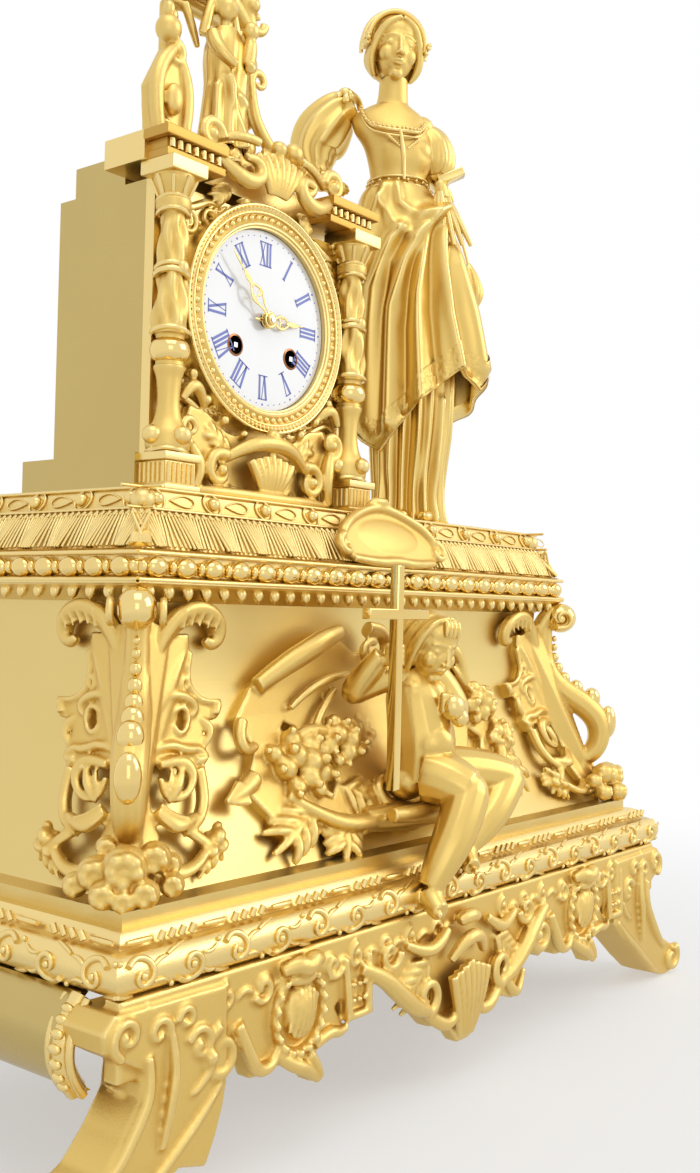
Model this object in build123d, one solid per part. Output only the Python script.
from build123d import *
import math
import os

os.makedirs("parts", exist_ok=True)

# Gilt figural mantel clock: a footed base, a draped tier, a clock case with columns, a small shrine,
# a standing lady, a seated child with a cross, and a round striking movement.
# Millimetres. x to the right, -y to the front, z up from the surface the feet stand on.

# Plan of the base: every level reaches half_width to each side and (side_to_front - half_width) to the front
side_to_front = 142.0
half_depth = 100.0
back_y = half_depth
shell_wall = 4.0
plinth_wall = 34.0
cornice_wall = 22.0
back_panel_thickness = 3.0

# Tapered body with hollow sides
body_bottom_half_width = 201.0
body_top_half_width = 169.0
body_height = 119.0
body_hollow = 11.0

# Plinth: feet, apron, torus moulding, base plate
plate_overhang = 11.6
plate_thickness = 5.8
torus_overhang = 17.1
torus_height = 17.0
torus_bulge = 4.0
cyma_height = 5.5
cyma_reach = 4.0
foot_height = 60.0
foot_depth = 24.0
foot_reach = 32.3
foot_width = 90.0
foot_sole = 18.0
foot_instep = 46.0
foot_toe_rise = 19.0
apron_top_drop = 28.0
apron_thickness = 9.0
apron_setback = 2.0
apron_inset = 3.7
apron_band_height = 24.0
apron_unit_x = 127.0
apron_pendant_drop = 36.0
apron_shell_half_width = 86.0
apron_shell_drop = 69.0
shell_ribs = 5
shell_rib_pitch = 9.0
shell_rib_radius = 5.2
cabochon_half_width = 11.0
cabochon_half_height = 13.0
cabochon_rise = 6.0
frame_half_width = 18.0
frame_half_height = 21.0
rear_foot_radius = 11.0
rear_foot_swell = 2.0
rear_foot_neck = 0.62
rear_foot_inset = 14.0
side_panel_height = 38.0
side_panel_bulge = 9.0
side_panel_inset = 4.0
side_panel_tuck = 2.0

# Cornice and draped tier
cornice_overhang = 13.0
egg_height = 8.0
egg_foot = 3.0
bead_band_height = 14.8
bead_channel = 3.0
fillet_height = 2.5
tier_inset = 5.0
tier_batter = 13.5
tier_height = 28.2

# Ornament of the body
cartouche_half_width = 92.0
cartouche_height = 104.0
cartouche_lift = 9.0
cartouche_rise = 8.0
cartouche_eye = 8.0
seat_half_width = 40.0
seat_drop = 14.0
seat_thickness = 8.0
seat_depth = 40.0
seat_roll_radius = 7.0
mount_wing_width = 47.0
mount_height = 117.0
mount_thickness = 6.0
mount_flank_thickness = 5.4
mount_rise = 1.0
mount_scroll_radius = 5.4
mount_horn_radius = 8.5
mount_horn_width = 22.0
mount_fruit_radius = 9.0
mount_fruit_turn = 135.0
cross_section = 5.0
cross_length = 108.0
cross_arm = 24.0
cross_head = 26.0
cross_rise = 104.0
name_half_width = 50.0
name_height = 36.0
name_thickness = 5.0

# Clock case
case_x = -69.0
case_half_width = 72.0
case_front_y = 1.0
case_front_thickness = 6.0
case_back_y = 70.0
case_wall = 3.5
case_plinth_height = 18.0
case_plinth_overhang = 8.0
case_plinth_back = 14.0
case_height = 130.0
case_block_height = 18.0
case_block_inset = 6.0
case_block_setback = 4.0
case_front_opening = 49.0
case_rear_opening = 44.0
column_offset = 67.0
column_y = -6.5
column_shaft_radius = 7.0
column_pedestal = 11.5
column_slab = 2.0
column_capital = 12.5
column_height = 136.0
column_vase_height = 57.0
column_capital_height = 24.0
column_neck_height = 14.0
column_twist = 36.0
column_shaft_steps = 4
entablature_height = 14.0
entablature_depth = 22.0
entablature_lap = 6.0
crest_half_width = 26.0
crest_half_height = 15.0
curl_radius = 11.0
curl_length = 10.0
curl_offset = 36.0
lower_shell_half_width = 26.0
lower_shell_height = 34.0
lower_base_half_width = 52.0
lower_base_height = 12.0
lower_base_depth = 8.0

# Dial and hands
dial_radius = 45.5
dial_thickness = 1.6
dial_height = 93.7
dial_stand = 4.8
dial_rim_width = 4.0
dial_rim_height = 1.4
dial_feet_circle = 36.0
dial_foot_radius = 1.6
dial_centre_hole = 3.2
bezel_radius = 57.0
bezel_depth = 10.0
bezel_fit = 0.3
bead_ring_radius = 50.7
winding_x = 20.7
winding_drop = 15.9
winding_hole = 4.6
eyelet_wall = 1.0
minute_hand_length = 41.0
minute_ring_at = 15.0
minute_ring_radius = 4.2
minute_hub_radius = 3.6
minute_hand_angle = 316.0
hour_hand_length = 27.5
hour_ring_at = 11.0
hour_ring_radius = 3.0
hour_hub_radius = 4.4
hour_hand_tail = 8.5
hour_hand_angle = 86.0
hand_thickness = 0.8
hand_arm_width = 2.6
hand_leaf_width = 4.4
hand_ring_wire = 1.3
hour_hand_clearance = 2.6
minute_hand_clearance = 2.4
collet_radius = 2.9
collet_height = 1.2

# Movement
plate_radius = 41.0
movement_plate_thickness = 2.5
front_plate_y = 10.0
plate_gap = 21.5
pillar_radius = 3.0
pillar_circle = 35.0
pillar_angles = (20, 160, 250, 290)
barrel_radius = 13.0
barrel_length = 15.0
barrel_rim = 1.2
barrel_rim_length = 2.0
winding_square = 3.2
winding_square_length = 2.0
winding_arbor_radius = 2.2
arbor_radius = 1.5
escape_arbor_radius = 0.8
anchor_arbor_radius = 1.0
pipe_wall = 0.9
run_clearance = 0.05
seat_clearance = 0.02
end_play = 0.4
gear_thickness = 1.6
tooth_rise = 0.9
tooth_root = 1.2
cannon_teeth = 12
motion_teeth = 36
motion_pinion_teeth = 10
hour_teeth = 40
cannon_module = 0.5
motion_angle = 60.0
escape_rise = 20.0
escape_radius = 9.0
escape_teeth = 30
escape_tooth_depth = 2.2
escape_wheel_thickness = 1.2
escape_setback = 6.0
anchor_rise = 34.0
anchor_thickness = 1.6
anchor_width = 3.2
anchor_hub_radius = 2.6
pallet_clearance = 0.8
crutch_length = 30.0
crutch_width = 2.0
crutch_fork_width = 6.0
crutch_fork_height = 3.0
pendulum_length = 95.0
pendulum_rod_radius = 1.0
pendulum_eye_radius = 2.8
pendulum_y = 42.5
bob_radius = 13.0
bob_thickness = 8.0
cock_width = 6.0
cock_thickness = 2.5
cock_cheek = 2.4
bell_x = 10.0
bell_drop = 2.0
bell_radius = 27.0
bell_depth = 14.0
bell_wall = 1.6
bell_mouth_y = 47.0
bell_post_radius = 2.0
hammer_x_offset = -27.0
hammer_z_offset = -20.0
hammer_stub = 8.5
hammer_hub_radius = 3.4
hammer_head_radius = 2.6
hammer_gap = 3.2
count_x_offset = -20.0
count_z_offset = 14.0
count_stub = 3.4
count_wheel_radius = 11.0
count_wheel_thickness = 1.2
count_slot_depth = 2.2
count_slot_width = 1.2
strap_thickness = 2.4
strap_width = 8.0

# Rear door
rear_ring_radius = 51.0
rear_ring_thickness = 3.0
rear_door_thickness = 2.0
rear_door_inset = 4.0
door_gap = 0.3
door_pull_inset = 12.0
hinge_pin_radius = 1.2
hinge_knuckle_radius = 2.4
hinge_knuckle_length = 9.0
hinge_lug_length = 5.0

# Shrine on top of the case
shrine_offset = -14.0
shrine_y = 26.0
shrine_base_height = 14.0
shrine_base_margin = 30.0
shrine_base_depth = 40.0
shrine_base_batter = 12.0
shrine_post = 8.0
shrine_spacing = 46.0
shrine_height = 84.0
shrine_roof_height = 86.0
shrine_roof_front = 12.0
statuette_height = 78.0
statuette_width = 30.0
buttress_offset = 22.0
buttress_height = 52.0
buttress_depth = 14.0
buttress_knob_radius = 7.0
ribbon_radius = 3.4
ribbon_height = 58.0
ribbon_reach = 46.0
ribbon_ball_radius = 6.0
ribbon_curl_radius = 9.0

# Standing lady, measured in her own view: right, rise above the tier or waist, out towards the viewer
lady_x = 64.0
lady_y = 11.0
lady_turn = -51.6
lady_waist_height = 200.0
lady_bodice_height = 62.0
lady_head_height = 54.0
lady_pleats = 11
overskirt_fold = 0.06
underskirt_pleat = 0.08
hem_rise = 62.7
hem_slope_right = 0.68
hem_slope_out = 0.36
ring_points = 44

# Seated child
child_x = -9.0
child_seat_height = 152.0
child_lean_out = 25.5
child_foot_length = 20.0
joint_swell = 1.04

# Half widths of the levels, from the body outwards
plate_half_width = body_bottom_half_width + plate_overhang
torus_half_width = plate_half_width + torus_overhang
cornice_half_width = body_top_half_width + cornice_overhang
tier_bottom_half_width = cornice_half_width - tier_inset
tier_top_half_width = tier_bottom_half_width - tier_batter
apron_half_width = torus_half_width - apron_inset
foot_tip_x = torus_half_width + foot_reach
foot_inner_x = foot_tip_x - foot_width

# Levels
apron_top_z = foot_height + apron_top_drop
torus_top_z = apron_top_z + torus_height
plate_bottom_z = torus_top_z + cyma_height
plate_top_z = plate_bottom_z + plate_thickness
body_top_z = plate_top_z + body_height
egg_top_z = body_top_z + egg_height
cornice_top_z = egg_top_z + bead_band_height
tier_top_z = cornice_top_z + tier_height
case_bottom_z = tier_top_z + case_plinth_height
case_top_z = case_bottom_z + case_height
block_top_z = case_top_z + case_block_height
column_top_z = case_bottom_z + column_height
dial_z = tier_top_z + dial_height
dial_y = case_front_y - dial_stand
back_plate_y = front_plate_y + movement_plate_thickness + plate_gap
back_plate_end = back_plate_y + movement_plate_thickness
pivot_z = dial_z + anchor_rise
waist_z = tier_top_z + lady_waist_height
clear = 1.0
far = 400.0


def front_y(half_width):
    return side_to_front - half_width


def body_half_width_at(z):
    share = (z - plate_top_z) / body_height
    straight = body_bottom_half_width + (body_top_half_width - body_bottom_half_width) * share
    return straight - body_hollow * 4 * share * (1 - share)


def block(x0, x1, y0, y1, z0, z1):
    return Pos((x0 + x1) / 2, (y0 + y1) / 2, (z0 + z1) / 2) * Box(x1 - x0, y1 - y0, z1 - z0)


def facing(y):
    return Plane(origin=(0, y, 0), x_dir=(1, 0, 0), z_dir=(0, -1, 0))


def outline(*curves):
    return make_face([edge for curve in curves for edge in curve.edges()])


def polygon(*points):
    return outline(Polyline(*points, close=True))


def panel(face, y0, y1):
    return extrude(facing(y0) * face, amount=y1 - y0, dir=(0, 1, 0))


def rod_y(x, z, radius, y0, y1):
    rod = Cylinder(radius, y1 - y0, align=(Align.CENTER, Align.CENTER, Align.MIN))
    return Pos(x, y0, z) * Rot(-90, 0, 0) * rod


def rod_z(x, y, radius, z0, z1):
    return Pos(x, y, z0) * Cylinder(radius, z1 - z0, align=(Align.CENTER, Align.CENTER, Align.MIN))


def standing_box(x, y, side, z0, z1):
    # square block turned 45 degrees, a corner to the front
    box = Box(side, side, z1 - z0, align=(Align.CENTER, Align.CENTER, Align.MIN))
    return Pos(x, y, z0) * Rot(0, 0, 45) * box


def turned_y(points, x, z):
    return Pos(x, 0, z) * revolve(polygon(*points), Axis.Y)


def turned_z(points, x, y, z):
    return Pos(x, y, z) * revolve(Plane.XZ * polygon(*points), Axis.Z)


def ellipsoid(x, y, z, rx, ry, rz):
    return Pos(x, y, z) * scale(Sphere(1.0), by=(rx, ry, rz))


def loft_rings(rings):
    return loft([Pos(x, y, z) * Ellipse(rx, ry) for x, y, z, rx, ry in rings])


def largest(shape):
    return max(shape.solids(), key=lambda solid: solid.volume)


def limb(stations):
    # tapered runs between joints, with a slightly fuller ball at every joint
    points = [Vector(*s[:3]) for s in stations]
    radii = [s[3] for s in stations]
    body = None
    for i in range(len(points) - 1):
        run = points[i + 1] - points[i]
        start = Plane(origin=points[i], z_dir=run)
        ends = [start * Circle(radii[i]), start.offset(run.length) * Circle(radii[i + 1])]
        cone = loft(ends, ruled=True)
        body = cone if body is None else body + cone
    for point, radius in zip(points, radii):
        body = body + Pos(point) * Sphere(radius * joint_swell)
    return body


def u_moulding(profile):
    # profile points are (half width, z); the moulding runs round the left, front and right of the base
    inner = min(p[0] for p in profile)
    front = front_y(inner)
    path = Polyline((-inner, back_y, 0), (-inner, front, 0), (inner, front, 0), (inner, back_y, 0))
    start = Plane(origin=(-inner, back_y, 0), x_dir=(-1, 0, 0), z_dir=(0, 1, 0))
    face = start * polygon(*[(half_width - inner, z) for half_width, z in profile])
    return sweep(face, path=path, transition=Transition.RIGHT)


def base_frustum(bottom, z0, top, z1, inset=0.0, back=back_y):
    sections = []
    for half_width, z in ((bottom - inset, z0), (top - inset, z1)):
        middle = (front_y(half_width) + back) / 2
        sections.append(Pos(0, middle, z) * Rectangle(2 * half_width, back - front_y(half_width)))
    return loft(sections, ruled=True)


def hollow_edge(place, grow):
    # arc of the hollow side from the plate to the cornice; place turns a half width into a coordinate
    middle_z = (plate_top_z + body_top_z) / 2
    return ThreePointArc(
        (place(body_bottom_half_width + grow), plate_top_z),
        (place(body_half_width_at(middle_z) + grow), middle_z),
        (place(body_top_half_width + grow), body_top_z),
    )


def front_block(grow=0.0, back=back_y):
    # everything behind the hollow front of the body
    edge = hollow_edge(front_y, grow)
    face = outline(edge, Polyline(edge @ 0, (back, plate_top_z), (back, body_top_z), edge @ 1))
    sideways = Plane(origin=(-far, 0, 0), x_dir=(0, 1, 0), z_dir=(1, 0, 0))
    return extrude(sideways * face, amount=2 * far)


def side_block(grow=0.0):
    # everything between the hollow sides of the body
    right = hollow_edge(lambda half: half, grow)
    left = hollow_edge(lambda half: -half, grow)
    face = outline(right, left, Line(right @ 0, left @ 0), Line(right @ 1, left @ 1))
    return panel(face, -far, far)


def body_form(grow=0.0, back=back_y):
    return front_block(grow, back) & side_block(grow)


parts = {}


# Plinth: apron with its two front feet, side panels, rear feet
apron_face_y = front_y(torus_half_width) + apron_setback


def apron_unit(x):
    # volute, spike, framed cabochon, pendant, hook and block beside one another, below the band
    low = apron_top_z - apron_band_height
    volute = Pos(x - 47, low - 5) * Circle(8.5)
    left_spike = polygon((x - 38, low + 2), (x - 31, low - 22), (x - 15, low - 22), (x - 16, low + 2))
    frame = Pos(x, low - 1) * Ellipse(frame_half_width, frame_half_height)
    pendant = outline(
        Spline((x - 14, low - 14), (x - 6, low - 27), (x + 8, low - apron_pendant_drop)),
        Line((x + 8, low - apron_pendant_drop), (x + 12, low - 14)),
        Line((x + 12, low - 14), (x - 14, low - 14)),
    )
    hook = polygon((x + 8, low + 2), (x + 12, low - 16), (x + 32, low - 18), (x + 20, low + 2))
    dotted_block = polygon((x + 28, low + 2), (x + 30, low - 11), (x + 50, low - 12), (x + 49, low + 2))
    return volute + left_spike + frame + pendant + hook + dotted_block


def foot_outline():
    # right foot: a scroll that swings out to a rolled toe
    inner, toe = foot_inner_x, foot_tip_x
    top_z = apron_top_z - apron_setback
    heel = toe - foot_sole - 12
    return outline(
        Line((inner, top_z), (inner, foot_instep)),
        Spline((inner, foot_instep), (inner + 6, 38), (inner + 26, 21), (heel - 12, 3), (heel, 0)),
        Line((heel, 0), (heel + foot_sole, 0)),
        ThreePointArc((heel + foot_sole, 0), (toe, 8), (toe - 8, foot_toe_rise)),
        Spline((toe - 8, foot_toe_rise), (toe - 34, 26), (toe - 44, 47), (toe - 42, foot_height)),
        Spline((toe - 42, foot_height), (toe - 25, foot_height + 10), (toe - 28, top_z)),
        Line((toe - 28, top_z), (inner, top_z)),
    )


def apron_shell_outline():
    # hanging middle of the apron, mirrored about x = 0
    w, low = apron_shell_half_width, apron_top_z - apron_band_height
    tip = apron_top_z - apron_shell_drop
    right = outline(
        Line((0, low + 2), (w, low + 2)),
        Spline((w, low + 2), (w * 0.67, low - 14), (w * 0.35, low - 26)),
        Spline((w * 0.35, low - 26), (w * 0.16, low - 38), (0, tip)),
        Line((0, tip), (0, low + 2)),
    )
    return right + mirror(right, Plane.YZ)


def make_apron():
    y0 = apron_face_y
    band = Pos(0, apron_top_z - apron_band_height / 2) * Rectangle(2 * apron_half_width, apron_band_height)
    shape = band + apron_shell_outline() + apron_unit(-apron_unit_x) + apron_unit(apron_unit_x)
    for side in (-1, 1):
        shape -= Pos(side * apron_shell_half_width * 0.4, apron_top_z - 31) * Ellipse(8, 4.5)
    casting = panel(shape, y0, y0 + apron_thickness)
    foot = panel(foot_outline(), y0 - apron_setback, y0 + foot_depth - apron_setback)
    casting += foot + mirror(foot, Plane.YZ)
    for x in (-apron_unit_x, apron_unit_x):
        z = apron_top_z - apron_band_height
        casting += ellipsoid(x, y0 + 1, z, cabochon_half_width, cabochon_rise, cabochon_half_height)
    for k in range(shell_ribs):
        step = k - (shell_ribs - 1) / 2
        z = apron_top_z - 42 + 2.5 * abs(step)
        height = 18 - 2 * abs(step)
        radius = shell_rib_radius
        casting += ellipsoid(step * shell_rib_pitch, y0 + 1, z, radius, radius * 1.25, height)
    floor = block(-far, far, y0 - far, y0 + far, -far, 0)
    return casting - floor


def make_side_panel(side):
    x_top = torus_half_width - side_panel_inset
    x_in = x_top - shell_wall
    y0 = apron_face_y + foot_depth - apron_setback
    z_top, z_low = apron_top_z, apron_top_z - side_panel_height
    z_mid = (z_top + z_low) / 2
    tuck = side_panel_tuck
    profile = outline(
        Line((x_top, z_top), (x_in, z_top)),
        ThreePointArc((x_in, z_top), (x_in + side_panel_bulge, z_mid), (x_in - tuck, z_low)),
        Line((x_in - tuck, z_low), (x_top - tuck, z_low)),
        ThreePointArc((x_top - tuck, z_low), (x_top + side_panel_bulge, z_mid), (x_top, z_top)),
    )
    solid = panel(profile, y0, back_y)
    return solid if side > 0 else mirror(solid, Plane.YZ)


def make_rear_feet():
    r = rear_foot_radius
    x = torus_half_width - shell_wall - side_panel_bulge - r - rear_foot_inset
    y = back_y - r - rear_foot_swell
    neck = r * rear_foot_neck
    profile = [
        (0, 0), (r, 0), (r + rear_foot_swell, 8), (neck, 26), (neck, apron_top_z - 10), (r, apron_top_z),
        (0, apron_top_z),
    ]
    return Compound(children=[turned_z(profile, side * x, y, 0) for side in (-1, 1)])


parts["apron_front"] = make_apron()
parts["side_panels"] = Compound(children=[make_side_panel(side) for side in (-1, 1)])
parts["rear_feet"] = make_rear_feet()


# Plinth moulding, base plate, body, cornice and draped tier
def make_plinth_moulding():
    inner = plate_half_width - plinth_wall
    centre = torus_half_width - torus_bulge
    radius = torus_height / 2
    arc = []
    for degrees in (-90, -45, 0, 45, 90):
        a = math.radians(degrees)
        arc.append((centre + torus_bulge * math.cos(a), apron_top_z + radius + radius * math.sin(a)))
    cyma_head = (plate_half_width + cyma_reach, plate_bottom_z)
    return u_moulding([(inner, apron_top_z), *arc, cyma_head, (inner, plate_bottom_z)])


def make_base_body():
    return body_form(0.0, back_y - back_panel_thickness) - body_form(-shell_wall, back_y + far)


def make_base_back():
    rim0, rim1 = body_bottom_half_width, body_top_half_width
    mid_z = (plate_top_z + body_top_z) / 2
    rim_mid = body_half_width_at(mid_z)
    neck = rim1 - cornice_wall - door_gap
    face = outline(
        Line((-rim0, plate_top_z), (rim0, plate_top_z)),
        ThreePointArc((rim0, plate_top_z), (rim_mid, mid_z), (rim1, body_top_z)),
        Polyline(
            (rim1, body_top_z), (neck, body_top_z), (neck, cornice_top_z), (-neck, cornice_top_z),
            (-neck, body_top_z), (-rim1, body_top_z),
        ),
        ThreePointArc((-rim1, body_top_z), (-rim_mid, mid_z), (-rim0, plate_top_z)),
    )
    return panel(face, back_y - back_panel_thickness, back_y)


def make_plinth_back():
    half = plate_half_width - plinth_wall - door_gap
    z_low = apron_top_z - side_panel_height
    return block(-half, half, back_y - back_panel_thickness, back_y, z_low, plate_bottom_z)


def make_cornice():
    inner = body_top_half_width - cornice_wall
    foot, reach = body_top_half_width, cornice_half_width
    channel = reach - bead_channel
    return u_moulding([
        (inner, body_top_z), (foot, body_top_z), (foot + egg_foot, body_top_z + 2),
        (reach - 1, egg_top_z - 1), (reach, egg_top_z), (reach, egg_top_z + fillet_height),
        (channel, egg_top_z + fillet_height + 1), (channel, cornice_top_z - 2), (channel + 1, cornice_top_z),
        (inner, cornice_top_z),
    ])


def make_tier():
    bottom, top = tier_bottom_half_width, tier_top_half_width
    outer = base_frustum(bottom, cornice_top_z, top, tier_top_z)
    ceiling = tier_top_z - shell_wall
    hollow = base_frustum(bottom, cornice_top_z, top, ceiling, cornice_wall, back_y - shell_wall)
    return outer - hollow


parts["plinth_moulding"] = make_plinth_moulding()
parts["base_plate"] = block(
    -plate_half_width, plate_half_width, front_y(plate_half_width), back_y, plate_bottom_z, plate_top_z
)
parts["base_body"] = make_base_body()
parts["base_back_panel"] = make_base_back()
parts["plinth_back_panel"] = make_plinth_back()
parts["cornice"] = make_cornice()
parts["fringe_tier"] = make_tier()
base_envelope = (
    body_form() + parts["base_plate"] + parts["cornice"] + parts["plinth_moulding"] + parts["fringe_tier"]
)


# Corner mounts: two pierced wings that follow the hollow body, a scrolled spine and a heap of fruit
def wing_outline(edge, lap):
    # edge(inward, rise) places a point of the wing in the view that the wing is cut in
    w, h = mount_wing_width, mount_height
    wing = outline(
        Spline(edge(-lap, h * 0.97), edge(-lap, h * 0.5), edge(-lap, 0)),
        Line(edge(-lap, 0), edge(w * 0.3, 2)),
        Spline(edge(w * 0.3, 2), edge(w * 0.75, 4), edge(w, 12), edge(w * 0.9, 20)),
        Spline(edge(w * 0.9, 20), edge(w * 0.78, 32), edge(w * 0.72, h * 0.4)),
        Polyline(
            edge(w * 0.72, h * 0.4), edge(w * 0.82, h * 0.45), edge(w * 0.78, h * 0.57),
            edge(w * 0.95, h * 0.58), edge(w, h * 0.65), edge(w * 0.8, h * 0.64),
        ),
        Spline(edge(w * 0.8, h * 0.64), edge(w * 0.52, h * 0.75), edge(w * 0.6, h * 0.88)),
        Spline(edge(w * 0.6, h * 0.88), edge(w * 0.85, h * 0.86), edge(w * 0.95, h * 0.94), edge(w * 0.7, h)),
        Spline(edge(w * 0.7, h), edge(w * 0.4, h * 0.98), edge(-lap, h * 0.97)),
    )
    lower_eye = outline(Spline(
        edge(w * 0.34, h * 0.32), edge(w * 0.5, h * 0.38), edge(w * 0.62, h * 0.3), edge(w * 0.46, h * 0.21),
        periodic=True,
    ))
    upper_eye = outline(Spline(
        edge(w * 0.42, h * 0.58), edge(w * 0.48, h * 0.61), edge(w * 0.54, h * 0.57),
        edge(w * 0.48, h * 0.53), periodic=True,
    ))
    return wing - lower_eye - upper_eye


def front_edge(inward, rise):
    z = plate_top_z + mount_rise + rise
    return (body_half_width_at(z) - inward, z)


def flank_edge(inward, rise):
    z = plate_top_z + mount_rise + rise
    return (front_y(body_half_width_at(z)) + inward, z)


def diagonal(outward, rise, across=0.0):
    # point on the plane that halves the right front corner, outward from the foot of the body
    root = math.sqrt(0.5)
    x = body_bottom_half_width + (outward + across) * root
    y = front_y(body_bottom_half_width) - (outward - across) * root
    return (x, y, plate_top_z + rise)


def make_corner_mount():
    # the front wing takes in the corner, and the thinner flank wing runs into it
    front_skin = body_form(mount_thickness) - front_block() - base_envelope
    front = panel(wing_outline(front_edge, mount_thickness), -far, far) & front_skin
    flank_skin = body_form(mount_flank_thickness) - side_block() - base_envelope
    flank_face = wing_outline(flank_edge, mount_flank_thickness / 2)
    sideways = Plane(origin=(0, 0, 0), x_dir=(0, 1, 0), z_dir=(1, 0, 0))
    flank = extrude(sideways * flank_face, amount=far) & flank_skin
    spine = Spline(
        diagonal(-38, 106), diagonal(-37, 88), diagonal(-24, 68), diagonal(-3, 52), diagonal(-1, 40),
        diagonal(-11, 26), diagonal(-22, 30), diagonal(-22, 38),
    )
    section = Plane(origin=spine @ 0, z_dir=spine % 0) * Circle(mount_scroll_radius)
    mount = front + flank + (sweep(section, path=spine) - base_envelope)
    horn = Plane(origin=diagonal(-30, 116), z_dir=(1, 1, 0)) * Cylinder(mount_horn_radius, mount_horn_width)
    mount += horn - base_envelope
    fruits = ((0, 13, 0, 1.0), (-5, 15, -12, 0.8), (-5, 12, 12, 0.8), (4, 7, -6, 0.7))
    for outward, rise, across, size in fruits:
        fruit = Rot(0, 0, mount_fruit_turn) * Sphere(mount_fruit_radius * size)
        mount += Pos(*diagonal(outward, rise, across)) * fruit - base_envelope
    return largest(mount)


parts["corner_mount_left"] = mirror(make_corner_mount(), Plane.YZ)
parts["corner_mount_right"] = mirror(parts["corner_mount_left"], Plane.YZ)


# Strapwork cartouche on the front, with the ledge the child sits on
def make_front_cartouche():
    w, h = cartouche_half_width, cartouche_height
    z0 = plate_top_z + cartouche_rise
    face = Pos(0, z0) * outline(
        Spline((-w * 0.7, 4), (-w * 0.98, 26), (-w * 0.86, 46)),
        Polyline((-w * 0.86, 46), (-w * 0.92, 62), (-w * 0.3, h * 0.96)),
        Spline((-w * 0.3, h * 0.96), (0, h * 0.98), (w * 0.34, h * 0.8)),
        Polyline((w * 0.34, h * 0.8), (w * 0.6, h * 0.88), (w * 0.8, h * 0.78), (w * 0.72, h * 0.62)),
        Spline((w * 0.72, h * 0.62), (w * 0.88, h * 0.36), (w * 0.62, 8)),
        Spline((w * 0.62, 8), (w * 0.3, 0), (0, 2), (-w * 0.3, 0), (-w * 0.7, 4)),
    )
    for x, rise in ((-w * 0.54, h * 0.28), (w * 0.6, h * 0.4), (-w * 0.66, h * 0.54)):
        face -= Pos(x, z0 + rise) * Ellipse(cartouche_eye * 0.7, cartouche_eye)
    plaque = panel(face, -far, far) & (body_form(cartouche_lift) - front_block())
    seat_y = front_y(body_half_width_at(child_seat_height))
    top = child_seat_height - seat_drop
    half = seat_half_width
    seat = block(child_x - half, child_x + half, seat_y - seat_depth, seat_y, top - seat_thickness, top)
    roll_place = Pos(child_x, seat_y - seat_depth, top - seat_thickness / 2)
    roll = roll_place * Rot(0, 90, 0) * Cylinder(seat_roll_radius, 2 * half)
    crown_z = z0 + h * 0.92
    crown = ellipsoid(-16, front_y(body_half_width_at(crown_z)) - cartouche_lift, crown_z, 14, 9, 10)
    return largest(plaque + (seat + roll + crown - base_envelope))


parts["front_cartouche"] = make_front_cartouche()


# Seated child and the cross in its raised hand
child_y = front_y(body_half_width_at(child_seat_height)) - child_lean_out


def make_child():
    x, y, z = child_x, child_y, child_seat_height
    torso = loft_rings([
        (x, y - 1, z - 13, 19, 16), (x, y - 2, z + 4, 21, 17), (x, y, z + 22, 17, 14),
        (x, y, z + 38, 19, 13), (x, y - 1, z + 48, 9, 8),
    ])
    head = ellipsoid(x + 3, y - 5, z + 64, 15, 15, 17)
    hair = ellipsoid(x - 2, y + 2, z + 60, 15, 13, 18)
    raised_arm = limb([
        (x - 17, y - 1, z + 40, 7.5), (x - 40, y + 4, z + 41, 6.5), (x - 38, y - 8, z + 62, 5),
    ])
    fruit_arm = limb([(x + 18, y - 2, z + 40, 7), (x + 29, y - 12, z + 30, 6), (x + 12, y - 20, z + 34, 5)])
    fruit = ellipsoid(x + 10, y - 24, z + 32, 7, 7, 8)
    near_leg = limb([(x - 8, y - 6, z - 1, 13), (x + 2, y - 26, z - 8, 10.5), (x - 20, y - 24, z - 48, 6)])
    toe_y = -half_depth + child_foot_length / 2
    near_foot = ellipsoid(x - 26, toe_y, z - 55, 6, child_foot_length / 2, 5)
    far_leg = limb([(x + 10, y - 6, z - 2, 12), (x + 46, y - 22, z - 5, 9.5), (x + 16, y - 19, z - 36, 6)])
    far_foot = ellipsoid(x + 12, y - 23, z - 38, 6, 9, 5)
    figure = torso + head + hair + raised_arm + fruit_arm + fruit + near_leg + near_foot + far_leg + far_foot
    for name in ("plinth_moulding", "base_plate", "front_cartouche", "apron_front"):
        figure = figure - parts[name]
    return largest(figure - front_block())


def make_cross():
    x = child_x - 41
    y = child_y - 12
    z_top = child_seat_height + cross_rise
    half = cross_section / 2
    upright = block(x - half, x + half, y - half, y + half, z_top - cross_length, z_top)
    bar_z = z_top - cross_head
    arms = block(x - cross_arm, x + cross_arm, y - half, y + half, bar_z, bar_z + cross_section)
    return upright + arms - base_envelope


parts["cross_staff"] = make_cross()
parts["child_figure"] = make_child() - parts["cross_staff"]


# Bare name cartouche on the tier
def make_name_cartouche():
    h, w = name_height, name_half_width
    slant = math.degrees(math.atan2(tier_batter, tier_height))
    face = outline(
        Spline((-w, 4), (-w * 0.94, h * 0.55), (-w * 0.62, h * 0.8)),
        Spline((-w * 0.62, h * 0.8), (0, h * 1.06), (w * 0.62, h * 0.8)),
        Spline((w * 0.62, h * 0.8), (w * 0.94, h * 0.55), (w, 4)),
        Spline((w, 4), (w * 0.5, -1), (0, 1), (-w * 0.5, -1), (-w, 4)),
    )
    foot = Pos(0, front_y(tier_bottom_half_width), cornice_top_z + 1)
    plate = foot * Rot(90 - slant, 0, 0) * extrude(face, amount=name_thickness)
    above = block(-2 * w, 2 * w, front_y(tier_top_half_width), back_y, tier_top_z, tier_top_z + h)
    return largest(plate - parts["fringe_tier"] - parts["cornice"] - above)


parts["name_cartouche"] = make_name_cartouche()


# Clock case: stepped plinth, box, top block, front casting, columns, entablature
case_box_y = case_front_y + case_front_thickness


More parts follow.
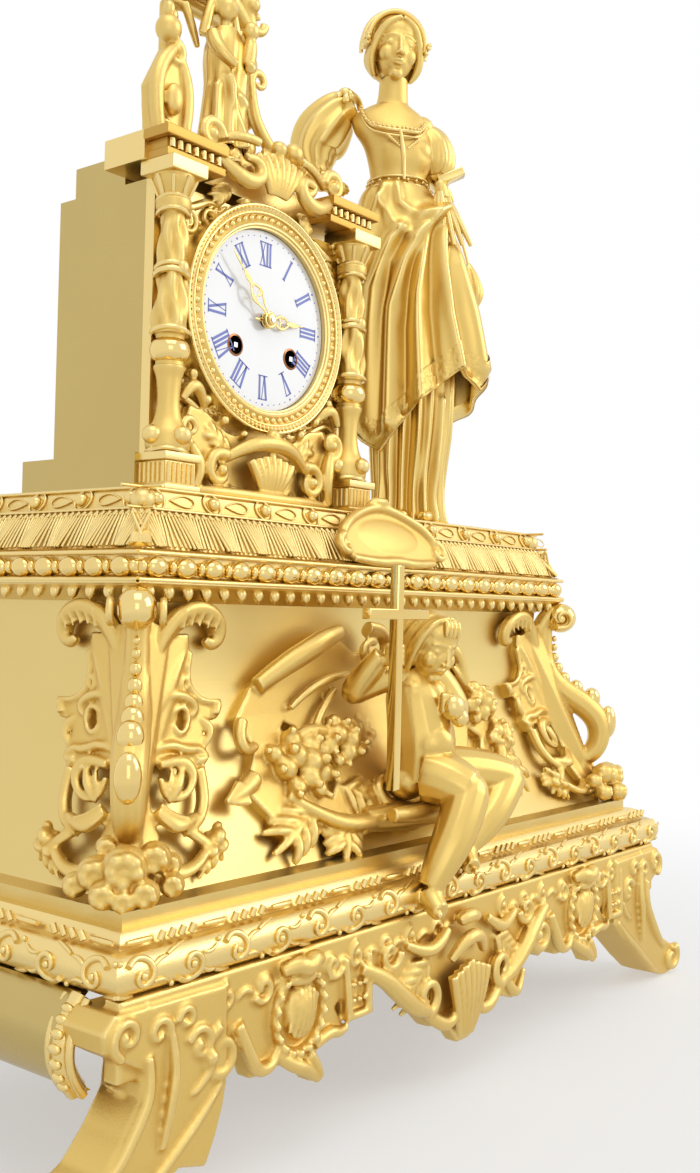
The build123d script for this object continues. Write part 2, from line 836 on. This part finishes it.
def make_case_plinth():
    reach = case_half_width + case_plinth_overhang
    rear = case_back_y + case_plinth_back
    outer = block(case_x - reach, case_x + reach, case_front_y, rear, tier_top_z, case_bottom_z)
    inner = case_half_width - case_wall
    y0, y1 = case_box_y + case_wall, case_back_y - case_wall
    return outer - block(case_x - inner, case_x + inner, y0, y1, tier_top_z, case_bottom_z)


def make_case_box():
    half, wall, y0 = case_half_width, case_wall, case_box_y
    outer = block(case_x - half, case_x + half, y0, case_back_y, case_bottom_z, case_top_z)
    inner = half - wall
    hollow = block(
        case_x - inner, case_x + inner, y0 + wall, case_back_y - wall, case_bottom_z, case_top_z - wall
    )
    front_hole = rod_y(case_x, dial_z, case_front_opening, y0 - clear, y0 + wall + clear)
    rear_hole = rod_y(case_x, dial_z, case_rear_opening, case_back_y - wall - clear, case_back_y + clear)
    return outer - hollow - front_hole - rear_hole


def make_case_front():
    half = case_half_width
    sheet = block(case_x - half, case_x + half, case_front_y, case_box_y, case_bottom_z, case_top_z)
    return sheet - rod_y(case_x, dial_z, case_front_opening, case_front_y - clear, case_box_y + clear)


def column_shaft(x, z0, z1, radius):
    # a draped shaft: six-sided rings that turn on the way up
    rings = []
    for i in range(column_shaft_steps + 1):
        section = RegularPolygon(radius * (1.0 if i % 2 else 0.9), 6)
        z = z0 + (z1 - z0) * i / column_shaft_steps
        rings.append(Pos(x, column_y, z) * Rot(0, 0, column_twist * i) * section)
    return loft(rings, ruled=True)


def make_column(side):
    x = case_x + side * column_offset
    p, r, h = column_pedestal, column_shaft_radius, column_vase_height
    z0 = tier_top_z
    slab_z = case_bottom_z - column_slab
    pedestal = standing_box(x, column_y, 1.6 * p, z0, slab_z)
    slab = standing_box(x, column_y, 1.8 * p, slab_z, case_bottom_z)
    vase = [
        (0, 0), (p * 0.8, 0), (p * 0.95, h * 0.14), (p * 0.8, h * 0.26), (r * 0.75, h * 0.39),
        (r * 0.75, h * 0.67), (r * 1.25, h * 0.74), (r * 1.45, h * 0.84), (r * 1.25, h * 0.95), (r * 1.15, h),
        (0, h),
    ]
    baluster = turned_z(vase, x, column_y, case_bottom_z)
    neck_z = column_top_z - column_capital_height
    shaft = column_shaft(x, case_bottom_z + h, neck_z, r * 1.1)
    n = column_neck_height
    neck = [
        (0, 0), (r * 1.3, 0), (r * 1.3, n * 0.28), (r * 0.9, n * 0.36), (r, n * 0.86), (r * 1.5, n), (0, n),
    ]
    capital = turned_z(neck, x, column_y, neck_z)
    abacus = standing_box(x, column_y, 1.7 * column_capital, neck_z + n, column_top_z)
    column = pedestal + slab + baluster + shaft + capital + abacus
    wall = block(x - far, x + far, case_front_y, case_front_y + far, z0 - far, z0 + far)
    return column - wall


def curl(x, y, z):
    return Pos(x, y, z) * Rot(90, 0, 0) * Cylinder(curl_radius, curl_length)


def make_entablature():
    z0, z1 = column_top_z, column_top_z + entablature_height
    half = column_offset + column_capital
    y0 = column_y - column_capital * 0.68
    y1 = case_box_y + entablature_depth
    band = block(case_x - half, case_x + half, y0, case_front_y, z0, z1)
    behind = block(case_x - half, case_x + half, case_front_y, y1, case_top_z + entablature_lap, z1)
    crest = ellipsoid(case_x, y0 + 6, z0 + 4, crest_half_width, 10, crest_half_height)
    curls = curl(case_x - curl_offset, y0 - 2, z0 + 10) + curl(case_x + curl_offset, y0 - 2, z0 + 10)
    return band + behind + crest + curls


def make_lower_scroll():
    # shell cartouche below the dial with a scroll on each side
    z0 = tier_top_z
    y0 = case_front_y
    h, half = lower_shell_height / 2, lower_base_half_width
    shell = ellipsoid(case_x, y0 - 3, z0 + h, lower_shell_half_width, 13, h)
    base = block(case_x - half, case_x + half, y0 - lower_base_depth, y0, z0, z0 + lower_base_height)
    scroll = shell + base
    for side in (-1, 1):
        scroll += curl(case_x + side * curl_offset, y0 - curl_length / 2, z0 + 18)
    behind = block(case_x - far, case_x + far, y0, y0 + far, z0 - far, z0 + far)
    below = block(case_x - far, case_x + far, y0 - far, y0, z0 - far, z0)
    return scroll - behind - below


parts["case_plinth"] = make_case_plinth()
parts["case_box"] = make_case_box()
block_half_width = case_half_width - case_block_inset
parts["case_top_block"] = block(
    case_x - block_half_width, case_x + block_half_width, case_box_y + entablature_depth,
    case_back_y - case_block_setback, case_top_z, block_top_z,
)
parts["case_front"] = make_case_front()
parts["column_left"] = make_column(-1)
parts["column_right"] = make_column(1)
parts["entablature"] = make_entablature()
parts["lower_scroll"] = make_lower_scroll() - parts["column_left"] - parts["column_right"]


# Bezel, enamel dial and hands
bezel_seat = 4.0


def make_bezel():
    y0 = case_front_y
    face = y0 - bezel_depth
    bore, rim, beads = dial_radius + bezel_fit, bezel_radius, bead_ring_radius
    spigot = case_front_opening - 0.4
    return turned_y([
        (bore, dial_y + 0.2), (bore, dial_y - 2.6), (bore + 1.9, dial_y - 3.6), (beads - 2, dial_y - 4.2),
        (beads, face + 2.4), (beads + 2, face + 2.0), (rim - 3, face + 1.2), (rim - 1.5, face),
        (rim, face + 1.5), (rim, y0), (spigot, y0), (spigot, y0 + bezel_seat), (bore, y0 + bezel_seat),
    ], case_x, dial_z)


def winding_place(side):
    return case_x + side * winding_x, dial_z - winding_drop


def make_dial():
    back = dial_y + dial_thickness
    rim_end = back + dial_rim_height
    disc = rod_y(case_x, dial_z, dial_radius, dial_y, rim_end)
    disc -= rod_y(case_x, dial_z, dial_radius - dial_rim_width, back, rim_end + clear)
    for angle in (90, 210, 330):
        a = math.radians(angle)
        x, z = case_x + dial_feet_circle * math.cos(a), dial_z + dial_feet_circle * math.sin(a)
        disc += rod_y(x, z, dial_foot_radius, back, front_plate_y)
    disc -= rod_y(case_x, dial_z, dial_centre_hole, dial_y - clear, back + clear)
    for side in (-1, 1):
        disc -= rod_y(*winding_place(side), winding_hole + eyelet_wall, dial_y - clear, back + clear)
    return disc


def make_eyelets():
    inner, outer = winding_hole, winding_hole + eyelet_wall
    back = dial_y + dial_thickness
    ring = [(inner, dial_y - 0.4), (outer, dial_y - 0.1), (outer, back), (inner, back)]
    return Compound(children=[turned_y(ring, *winding_place(side)) for side in (-1, 1)])


def hand_outline(length, hub, ring_at, ring_radius):
    # a pierced ring part way along, a slim waist, a leaf near the tip
    half, leaf_half, middle = hand_arm_width / 2, hand_leaf_width / 2, (ring_at + length) / 2
    arm = polygon((-half, 0), (half, 0), (half * 0.55, ring_at), (-half * 0.55, ring_at))
    leaf = outline(
        Spline((0, ring_at), (leaf_half, middle), (0, length)),
        Spline((0, length), (-leaf_half, middle), (0, ring_at)),
    )
    eye = Pos(0, ring_at) * Circle(ring_radius - hand_ring_wire)
    return Circle(hub) + arm + leaf + Pos(0, ring_at) * Circle(ring_radius) - eye


def make_hand(shape, angle, y0, bore):
    turned = Pos(case_x, dial_z) * Rot(0, 0, -angle) * shape
    end = y0 + hand_thickness
    return panel(turned, y0, end) - rod_y(case_x, dial_z, bore, y0 - clear, end + clear)


pipe_inner = arbor_radius + run_clearance
pipe_outer = pipe_inner + pipe_wall
hand_bore = arbor_radius + seat_clearance
hour_hand_y = dial_y - hour_hand_clearance
minute_hand_y = hour_hand_y - minute_hand_clearance
hour_tail = polygon((-1.2, 0), (1.2, 0), (0, -hour_hand_tail))
hour_outline = hand_outline(hour_hand_length, hour_hub_radius, hour_ring_at, hour_ring_radius) + hour_tail
minute_outline = hand_outline(minute_hand_length, minute_hub_radius, minute_ring_at, minute_ring_radius)
parts["bezel"] = make_bezel()
parts["dial"] = make_dial()
parts["winding_eyelets"] = make_eyelets()
parts["hour_hand"] = make_hand(hour_outline, hour_hand_angle, hour_hand_y, pipe_outer + seat_clearance)
parts["minute_hand"] = make_hand(minute_outline, minute_hand_angle, minute_hand_y, hand_bore)
parts["hand_collet"] = turned_y([
    (hand_bore, minute_hand_y - collet_height), (collet_radius * 0.9, minute_hand_y - collet_height * 0.8),
    (collet_radius, minute_hand_y), (hand_bore, minute_hand_y),
], case_x, dial_z)


# Movement: plates and pillars, barrels, winding arbors, motion work, escapement, pendulum, bell and hammer
def gear_face(teeth, module, phase):
    pitch = module * teeth / 2
    step = 2 * math.pi / teeth
    root, tip = pitch - tooth_root * module, pitch + tooth_rise * module
    points = []
    for i in range(teeth):
        centre = math.radians(phase) + i * step
        for radius, share in ((root, -0.30), (tip, -0.11), (tip, 0.11), (root, 0.30)):
            a = centre + share * step
            points.append((radius * math.cos(a), radius * math.sin(a)))
    return polygon(*points)


def make_gear(face, x, z, y0, thickness, bore):
    wheel = panel(Pos(x, z) * face, y0, y0 + thickness)
    return wheel - rod_y(x, z, bore, y0 - clear, y0 + thickness + clear)


motion_distance = cannon_module * (cannon_teeth + motion_teeth) / 2
hour_module = 2 * motion_distance / (motion_pinion_teeth + hour_teeth)
motion_x = case_x + motion_distance * math.cos(math.radians(motion_angle))
motion_z = dial_z + motion_distance * math.sin(math.radians(motion_angle))
cannon_y = front_plate_y - gear_thickness - end_play
hour_wheel_y = cannon_y - gear_thickness - 2 * end_play
arbor_hole = arbor_radius + run_clearance
winding_bore = winding_arbor_radius + run_clearance
count_x, count_z = case_x + count_x_offset, dial_z + count_z_offset
hammer_x, hammer_z = case_x + hammer_x_offset, dial_z + hammer_z_offset
train_holes = [
    (case_x, dial_z, arbor_hole), (case_x, dial_z + escape_rise, escape_arbor_radius + run_clearance),
    (case_x, pivot_z, anchor_arbor_radius + run_clearance),
    (*winding_place(-1), winding_bore), (*winding_place(1), winding_bore),
]


def movement_plate(y0):
    end = y0 + movement_plate_thickness
    disc = rod_y(case_x, dial_z, plate_radius, y0, end)
    for x, z, radius in train_holes:
        disc -= rod_y(x, z, radius, y0 - clear, end + clear)
    return disc


def make_back_plate():
    plate = movement_plate(back_plate_y)
    for angle in pillar_angles:
        a = math.radians(angle)
        x, z = case_x + pillar_circle * math.cos(a), dial_z + pillar_circle * math.sin(a)
        plate += rod_y(x, z, pillar_radius, front_plate_y + movement_plate_thickness, back_plate_y)
    plate += rod_y(count_x, count_z, arbor_radius, back_plate_end, back_plate_end + count_stub)
    return plate + rod_y(hammer_x, hammer_z, arbor_radius, back_plate_end, back_plate_end + hammer_stub)


def make_front_plate():
    stud = rod_y(motion_x, motion_z, arbor_radius, hour_wheel_y + end_play / 2, front_plate_y)
    return movement_plate(front_plate_y) + stud


def make_barrel(side):
    y0 = front_plate_y + movement_plate_thickness + clear
    y1 = y0 + barrel_length
    y2 = y1 + barrel_rim_length
    rim = barrel_radius + barrel_rim
    bore, drum = winding_bore, barrel_radius
    profile = [(bore, y0), (drum, y0), (drum, y1), (rim, y1), (rim, y2), (bore, y2)]
    return turned_y(profile, *winding_place(side))


def make_winding_arbor(side):
    x, z = winding_place(side)
    shoulder = front_plate_y - winding_square_length
    half = winding_square * 0.375
    shaft = rod_y(x, z, winding_arbor_radius, shoulder, back_plate_end)
    return shaft + block(x - half, x + half, dial_y - 0.5, shoulder, z - half, z + half)


def make_minute_arbor():
    shaft = rod_y(case_x, dial_z, arbor_radius, minute_hand_y - collet_height - end_play, back_plate_end)
    face = gear_face(cannon_teeth, cannon_module, motion_angle)
    return shaft + panel(Pos(case_x, dial_z) * face, cannon_y, cannon_y + gear_thickness)


def make_motion_wheel():
    towards_centre = motion_angle + 180
    wheel_face = gear_face(motion_teeth, cannon_module, towards_centre + 180 / motion_teeth)
    pinion_face = gear_face(motion_pinion_teeth, hour_module, towards_centre)
    wheel = make_gear(wheel_face, motion_x, motion_z, cannon_y, gear_thickness, arbor_hole)
    pinion = make_gear(pinion_face, motion_x, motion_z, hour_wheel_y, cannon_y - hour_wheel_y, arbor_hole)
    return wheel + pinion


def make_hour_wheel():
    face = gear_face(hour_teeth, hour_module, motion_angle + 180 / hour_teeth)
    wheel = make_gear(face, case_x, dial_z, hour_wheel_y, gear_thickness, pipe_inner)
    end = hour_hand_y - end_play
    pipe = [(pipe_inner, end), (pipe_outer, end), (pipe_outer, hour_wheel_y), (pipe_inner, hour_wheel_y)]
    return wheel + turned_y(pipe, case_x, dial_z)


def make_escape_wheel():
    x, z = case_x, dial_z + escape_rise
    y0 = back_plate_y - escape_setback
    step = 2 * math.pi / escape_teeth
    root = escape_radius - escape_tooth_depth
    points = []
    for i in range(escape_teeth):
        for radius, share in ((escape_radius, 0.0), (root, 0.18), (root, 0.78)):
            a = (i + share) * step
            points.append((x + radius * math.cos(a), z + radius * math.sin(a)))
    wheel = panel(polygon(*points), y0, y0 + escape_wheel_thickness)
    return wheel + rod_y(x, z, escape_arbor_radius, front_plate_y, back_plate_end)


def make_anchor_crutch():
    x, z = case_x, pivot_z
    y0 = back_plate_y - escape_setback - (anchor_thickness - escape_wheel_thickness) / 2
    reach = escape_radius + pallet_clearance
    centre_z = z - (anchor_rise - escape_rise)
    ring = Pos(x, centre_z) * (Circle(reach + anchor_width) - Circle(reach))
    wide = 2 * reach
    wedge = polygon(
        (x, centre_z - 4), (x - wide, centre_z + 12), (x - wide, z + 2), (x + wide, z + 2),
        (x + wide, centre_z + 12),
    )
    web = Pos(x, (z + centre_z + reach + clear) / 2) * Rectangle(4, z - centre_z - reach - clear)
    hub = Pos(x, z) * Circle(anchor_hub_radius)
    body = panel((ring & wedge) + web + hub, y0, y0 + anchor_thickness)
    arm_y, half = back_plate_end + 1.2, crutch_width / 2
    arbor = rod_y(x, z, anchor_arbor_radius, front_plate_y, arm_y + 1.2)
    arm = block(x - half, x + half, arm_y, arm_y + 1.2, z - crutch_length, z)
    fork_half, low = crutch_fork_width / 2, z - crutch_length - crutch_fork_height / 2
    high = low + crutch_fork_height
    fork = block(x - fork_half, x + fork_half, arm_y, pendulum_y + 2, low, high)
    slot_half = pendulum_rod_radius + 4 * run_clearance
    fork -= block(x - slot_half, x + slot_half, pendulum_y - 1.4, pendulum_y + far, low - clear, high + clear)
    return body + arbor + arm + fork


def make_suspension_cock():
    x, z = case_x, pivot_z
    half = cock_width / 2
    top = z + 4 + cock_thickness
    rear = pendulum_y + 2.2
    foot = block(x - cock_width, x + cock_width, back_plate_end, back_plate_end + 1, z + 2.2, top)
    arm = block(x - half, x + half, back_plate_end, rear + cock_cheek, z + 4, top)
    cheek = block(x - half, x + half, rear, rear + cock_cheek, z - half, top)
    return foot + arm + cheek + rod_y(x, z, anchor_arbor_radius, pendulum_y - 2, rear)


def make_pendulum():
    x, y, z = case_x, pendulum_y, pivot_z
    eye = rod_y(x, z, pendulum_eye_radius, y - 1.2, y + 1.2)
    eye -= rod_y(x, z, anchor_arbor_radius + run_clearance, y - 2, y + 2)
    rod = rod_z(x, y, pendulum_rod_radius, z - pendulum_length + 4, z - pendulum_eye_radius * 0.8)
    r, half = bob_radius, bob_thickness / 2
    bob = [
        (0, y - half), (r * 0.7, y - half * 0.84), (r, y - half * 0.15), (r, y + half * 0.15),
        (r * 0.7, y + half * 0.84), (0, y + half),
    ]
    return eye + rod + turned_y(bob, x, z - pendulum_length)


def make_bell():
    x, z = case_x + bell_x, dial_z - bell_drop
    mouth, crown = bell_mouth_y, bell_mouth_y + bell_depth
    r, waist = bell_radius, bell_mouth_y + bell_depth * 0.43
    bowl = turned_y([
        (r - bell_wall, mouth), (r, mouth), (r - 1, waist), (r * 0.7, crown - 2.2), (0, crown),
        (0, crown - 1.8), (r * 0.68, crown - 4), (r - 1 - bell_wall, waist),
    ], x, z)
    return bowl + rod_y(x, z, bell_post_radius, back_plate_end, crown - 1.4)


def make_hammer():
    x, z = hammer_x, hammer_z
    y0 = back_plate_end + hammer_stub - 3.9
    y1 = y0 + 3
    hub = rod_y(x, z, hammer_hub_radius, y0, y1) - rod_y(x, z, arbor_hole, y0 - clear, y1 + clear)
    head_x, head_z = case_x + bell_x - bell_radius - hammer_gap, dial_z - bell_drop
    arm = polygon((x - 1.2, z + 2.6), (x + 1.2, z + 2.6), (head_x + 1, head_z), (head_x - 1.2, head_z))
    return hub + panel(arm, y0, y0 + 1.8) + rod_y(head_x, head_z, hammer_head_radius, y0, bell_mouth_y + 6)


def make_count_wheel():
    y0 = back_plate_end + 0.6
    y1 = y0 + count_wheel_thickness
    r, half = count_wheel_radius, count_slot_width / 2
    wheel = rod_y(count_x, count_z, r, y0, y1) - rod_y(count_x, count_z, arbor_hole, y0 - clear, y1 + clear)
    slot = block(r - count_slot_depth, r + clear, y0 - clear, y1 + clear, -half, half)
    strokes, turn = sum(range(1, 13)) + 12, 0.0
    for hour in range(1, 13):
        turn += (hour + 1) * 360 / strokes
        wheel -= Pos(count_x, 0, count_z) * Rot(0, turn, 0) * slot
    return wheel


parts["movement_front_plate"] = make_front_plate()
parts["movement_back_plate"] = make_back_plate()
parts["going_barrel"] = make_barrel(1)
parts["strike_barrel"] = make_barrel(-1)
parts["going_winding_arbor"] = make_winding_arbor(1)
parts["strike_winding_arbor"] = make_winding_arbor(-1)
parts["minute_arbor"] = make_minute_arbor()
parts["motion_wheel"] = make_motion_wheel()
parts["hour_wheel"] = make_hour_wheel()
parts["escape_wheel"] = make_escape_wheel()
parts["anchor_crutch"] = make_anchor_crutch()
parts["suspension_cock"] = make_suspension_cock()
parts["pendulum"] = make_pendulum()
parts["bell"] = make_bell()
parts["bell_hammer"] = make_hammer()
parts["count_wheel"] = make_count_wheel()


# Fixing straps from bezel to rear ring, rear ring and hinged rear door
hinge_x = case_x - rear_ring_radius - hinge_knuckle_radius - door_gap
hinge_y = case_back_y + rear_ring_thickness + door_gap + rear_door_thickness / 2
knuckle_half = hinge_knuckle_length / 2


def make_straps():
    bars = []
    half, high = strap_thickness / 2, strap_width / 2
    for side in (-1, 1):
        x = case_x + side * (case_rear_opening + 2.6)
        y0, y1 = case_front_y + bezel_seat, case_back_y - case_wall
        bars.append(block(x - half, x + half, y0, y1, dial_z - high, dial_z + high))
    return Compound(children=bars)


def make_rear_ring():
    y0, y1 = case_back_y, case_back_y + rear_ring_thickness
    hole = rod_y(case_x, dial_z, case_rear_opening, y0 - clear, y1 + clear)
    ring = rod_y(case_x, dial_z, rear_ring_radius, y0, y1) - hole
    reach = hinge_knuckle_radius
    near = knuckle_half + door_gap
    for z0 in (dial_z + near, dial_z - near - hinge_lug_length):
        z1 = z0 + hinge_lug_length
        ring += block(hinge_x - reach, hinge_x + reach, y0, hinge_y + reach, z0, z1)
        ring += block(hinge_x, case_x - case_rear_opening - 2, y0, y1, z0, z1)
    return ring + rod_z(hinge_x, hinge_y, hinge_pin_radius, dial_z - near, dial_z + near)


def make_rear_door():
    y0 = case_back_y + rear_ring_thickness + door_gap
    y1 = y0 + rear_door_thickness
    low, high = dial_z - knuckle_half, dial_z + knuckle_half
    disc = rod_y(case_x, dial_z, rear_ring_radius - rear_door_inset, y0, y1)
    leaf = block(hinge_x, case_x - rear_ring_radius + 2 * rear_door_inset, y0, y1, low, high)
    knuckle = rod_z(hinge_x, hinge_y, hinge_knuckle_radius, low, high)
    knob = [(0, y1), (3.0, y1), (2.2, y1 + 3), (3.4, y1 + 6), (0, y1 + 7)]
    pull = turned_y(knob, case_x + rear_ring_radius - door_pull_inset, dial_z)
    bore = rod_z(hinge_x, hinge_y, hinge_pin_radius + run_clearance, low - clear, high + clear)
    return disc + leaf + knuckle + pull - bore


parts["fixing_straps"] = make_straps()
parts["rear_ring"] = make_rear_ring()
parts["rear_door"] = make_rear_door()


# Shrine on the case: base, frame with roof, statuette, urn buttress, descending scroll
shrine_z = column_top_z + entablature_height
shrine_x = case_x + shrine_offset
shrine_floor_z = shrine_z + shrine_base_height


def make_shrine_base():
    width, depth = shrine_spacing + shrine_base_margin, shrine_base_depth
    foot = RectangleRounded(width, depth, depth * 0.2)
    head = RectangleRounded(width - shrine_base_batter, depth - shrine_base_batter / 2, depth * 0.2)
    middle = Pos(shrine_x, shrine_y)
    return loft([middle * Pos(0, 0, shrine_z) * foot, middle * Pos(0, 0, shrine_floor_z) * head], ruled=True)


def make_shrine_frame():
    z0, top = shrine_floor_z, shrine_floor_z + shrine_height
    y, half_post = shrine_y + shrine_post, shrine_post / 2
    frame = None
    for side in (-1, 1):
        x = shrine_x + side * shrine_spacing / 2
        post = block(x - half_post, x + half_post, y - half_post, y + half_post, z0, top)
        for share, radius in ((0.36, 7.0), (0.62, 5.5), (0.86, 6.5)):
            knop_z = z0 + shrine_height * share
            post += ellipsoid(x + side * half_post, y - half_post, knop_z, radius, radius, radius * 1.2)
        frame = post if frame is None else frame + post
    half, eaves, tip = shrine_spacing / 2 + shrine_post, top - 6, top + shrine_roof_height
    slope = top + shrine_roof_height * 0.4
    roof = panel(Pos(shrine_x, 0) * outline(
        Line((-half, eaves), (half, eaves)),
        Spline((half, eaves), (half * 0.6, slope), (3, tip)),
        Line((3, tip), (-3, tip)),
        Spline((-3, tip), (-half * 0.6, slope), (-half, eaves)),
    ), shrine_y - shrine_roof_front, y + half_post)
    niche = rod_y(shrine_x, eaves, (shrine_spacing - shrine_post) / 2, shrine_y - far, y - shrine_post)
    return frame + roof - niche


def make_statuette():
    z0, h, half = shrine_floor_z, statuette_height, statuette_width / 2
    x, y = shrine_x, shrine_y - 5
    robe = loft_rings([
        (x, y, z0, half, half * 0.73), (x, y, z0 + h * 0.25, half * 0.9, half * 0.67),
        (x, y, z0 + h * 0.5, half * 0.87, half * 0.67), (x, y, z0 + h * 0.72, half * 0.8, half * 0.6),
        (x, y, z0 + h * 0.82, half * 0.4, half * 0.4),
    ])
    head = ellipsoid(x, y - 1, z0 + h * 0.9, 6.5, 7, 8.5)
    infant = ellipsoid(x + 9, y - 6, z0 + h * 0.68, 6, 6, 10)
    infant_head = Pos(x + 10, y - 7, z0 + h * 0.84) * Sphere(4.6)
    return robe + head + infant + infant_head


def make_buttress():
    # shield-shaped scroll with an urn knob at the left of the shrine
    x, z, h = shrine_x - shrine_spacing / 2 - buttress_offset, shrine_z, buttress_height
    y0 = shrine_y - shrine_base_depth / 2
    shield = Pos(x, z) * outline(
        Spline((-7, 0), (-11, h * 0.58), (3, h)),
        Line((3, h), (9, h * 0.96)),
        Spline((9, h * 0.96), (12, h * 0.5), (8, 0)),
        Line((8, 0), (-7, 0)),
    )
    knob = Pos(x, y0 + buttress_depth / 2, z + h + 4) * Sphere(buttress_knob_radius)
    return panel(shield, y0, y0 + buttress_depth) + knob


def make_shrine_scroll():
    # S-shaped scroll running down from the right post to the crest
    x = shrine_x + (shrine_spacing + shrine_post) / 2 + 0.3
    y, z, h, w = shrine_y - 6, shrine_z, ribbon_height, ribbon_reach
    line = Spline(
        (x + 2, y, z + h), (x + w * 0.17, y, z + h * 0.59), (x + w * 0.6, y, z + h * 0.31), (x + w, y, z + 4)
    )
    tail = sweep(Plane(origin=line @ 0, z_dir=line % 0) * Circle(ribbon_radius), path=line)
    ball = Pos(x + w * 0.72, y, z + h * 0.38) * Sphere(ribbon_ball_radius)
    r = ribbon_curl_radius
    end = Pos(x + w - 2, y, z + r) * Rot(90, 0, 0) * Cylinder(r, r)
    below = block(x - far, x + far, y - far, y + far, z - far, z)
    return tail + ball + end - below


parts["shrine_base"] = make_shrine_base()
parts["shrine_frame"] = make_shrine_frame() - parts["shrine_base"]
parts["statuette"] = make_statuette() - parts["shrine_frame"] - parts["shrine_base"]
parts["shrine_buttress"] = make_buttress() - parts["shrine_base"] - parts["shrine_frame"]
parts["shrine_scroll"] = make_shrine_scroll() - parts["shrine_base"] - parts["shrine_frame"]


# Standing lady: pleated underskirt, lifted overskirt, bodice, head, arms
view_x, view_y = math.cos(math.radians(lady_turn)), math.sin(math.radians(lady_turn))


def lady_spot(right, out):
    return lady_x + right * view_x + out * view_y, lady_y + right * view_y - out * view_x


def lady_ring(right, out, z, half_width, half_depth, pleats=0, depth=0.0):
    # closed curve of the cloth, an ellipse that is pleated by a share of its size
    if not pleats:
        ring = Ellipse(half_width, half_depth)
    else:
        points = []
        for i in range(ring_points):
            a = 2 * math.pi * i / ring_points
            swell = 1 + depth * math.cos(pleats * a)
            points.append((half_width * swell * math.cos(a), half_depth * swell * math.sin(a)))
        ring = outline(Spline(*points, periodic=True))
    return Pos(*lady_spot(right, out), z) * Rot(0, 0, lady_turn) * ring


def lady_limb(stations):
    return limb([(*lady_spot(right, out), waist_z + rise, r) for right, rise, out, r in stations])


def lady_ball(right, rise, out, rx, ry, rz):
    ball = Rot(0, 0, lady_turn) * ellipsoid(0, 0, 0, rx, ry, rz)
    return Pos(*lady_spot(right, out), waist_z + rise) * ball


def make_skirt():
    h, fold = lady_waist_height, underskirt_pleat
    rings = []
    for share, right, out, wide, deep, depth in (
        (0.0, 10, -8, 17, 14, fold), (0.08, 9, -8, 15.5, 13.5, fold), (0.16, 8.5, -8, 17.5, 15, fold),
        (0.29, 10, -7, 23, 18, fold), (0.57, 10, -6, 27, 20, 0.02), (0.8, 3, -2, 22, 17, 0.01),
        (1.0, -1.3, 0, 15, 12.5, 0.0),
    ):
        rings.append(lady_ring(right, out, tier_top_z + h * share, wide, deep, lady_pleats, depth))
    return loft(rings)


def make_overskirt():
    h, fold = lady_waist_height, overskirt_fold
    rings = []
    for share, right, out, wide, deep, depth in (
        (0.17, 13, -6, 36, 27, fold), (0.32, 15, -6, 38, 28, fold), (0.47, 15.5, -5, 39.5, 28, fold),
        (0.62, 12, -4, 38.5, 28, fold), (0.77, 6, -3, 34, 26, fold * 0.8),
        (0.9, 1.5, -2, 28.5, 22.5, fold * 0.5), (0.985, -1.3, 0, 18, 15, 0.0),
    ):
        rings.append(lady_ring(right, out, tier_top_z + h * share, wide, deep, lady_pleats, depth))
    rise_x = -hem_slope_right * view_x - hem_slope_out * view_y
    rise_y = -hem_slope_right * view_y + hem_slope_out * view_x
    hem = Plane(origin=(*lady_spot(15, -5), tier_top_z + hem_rise), z_dir=(rise_x, rise_y, 1))
    return split(loft(rings), bisect_by=hem, keep=Keep.TOP)


def make_bodice():
    h = lady_bodice_height
    rings = []
    for share, right, out, half_width, half_depth in (
        (0.0, -1.3, 0, 17, 14.4), (0.13, -1.2, 0.5, 16.8, 14), (0.35, -0.5, 2.5, 20, 17),
        (0.6, -6.5, 0.5, 22, 14.5), (0.72, -8, -0.5, 21, 12), (0.82, -7, -1, 13, 9.5),
        (0.88, -5.5, -1, 9.6, 8.6), (1.0, -5, 0.5, 8.4, 8.2),
    ):
        rings.append(lady_ring(right, out, waist_z + h * share, half_width, half_depth))
    return loft(rings)


def make_lady_head():
    rise, h = lady_bodice_height, lady_head_height
    head = lady_ball(-5, rise + h * 0.42, -1, 17.5, 19, h * 0.46)
    for side in (-1, 1):
        head += lady_ball(-5 + side * 13, rise + h * 0.3, -6, 8, 8, 9)
    return head


def make_right_arm():
    sleeve = lady_limb([
        (-28, 53, -3, 8), (-38, 48, -4, 13), (-47, 36, -5, 16.5), (-52, 24, -4, 15), (-49, 9, 1, 7),
        (-43, 0, 8, 4.5),
    ])
    return sleeve + lady_ball(-38, -1.5, 8.5, 8, 4.5, 5.5)


def make_left_arm():
    sleeve = lady_limb([
        (12, 38, -6, 8), (18, 31, -9, 11.5), (22, 20, -11, 12), (23, 8, -8, 6), (25, -2, 8, 4),
    ])
    return sleeve + lady_ball(26, -8, 12, 5, 4.5, 8)


case_names = (
    "case_plinth", "case_box", "case_front", "column_right", "entablature", "lower_scroll", "case_top_block",
    "shrine_scroll",
)
case_pieces = [parts[name] for name in case_names]
lady = {
    "lady_bodice": make_bodice(),
    "lady_skirt": make_skirt(),
    "lady_overskirt": make_overskirt(),
    "lady_head": make_lady_head(),
    "lady_right_arm": make_right_arm(),
    "lady_left_arm": make_left_arm(),
}
lady_fits = {
    "lady_bodice": (),
    "lady_skirt": (),
    "lady_overskirt": ("lady_skirt", "lady_bodice"),
    "lady_head": ("lady_bodice",),
    "lady_right_arm": ("lady_bodice", "lady_skirt", "lady_overskirt"),
    "lady_left_arm": ("lady_bodice", "lady_skirt", "lady_overskirt"),
}
for name, piece in lady.items():
    for other in case_pieces + [parts[fit] for fit in lady_fits[name]]:
        piece = piece - other
    parts[name] = largest(piece)


for node, solid in parts.items():
    export_step(solid, f"parts/{node}.step")
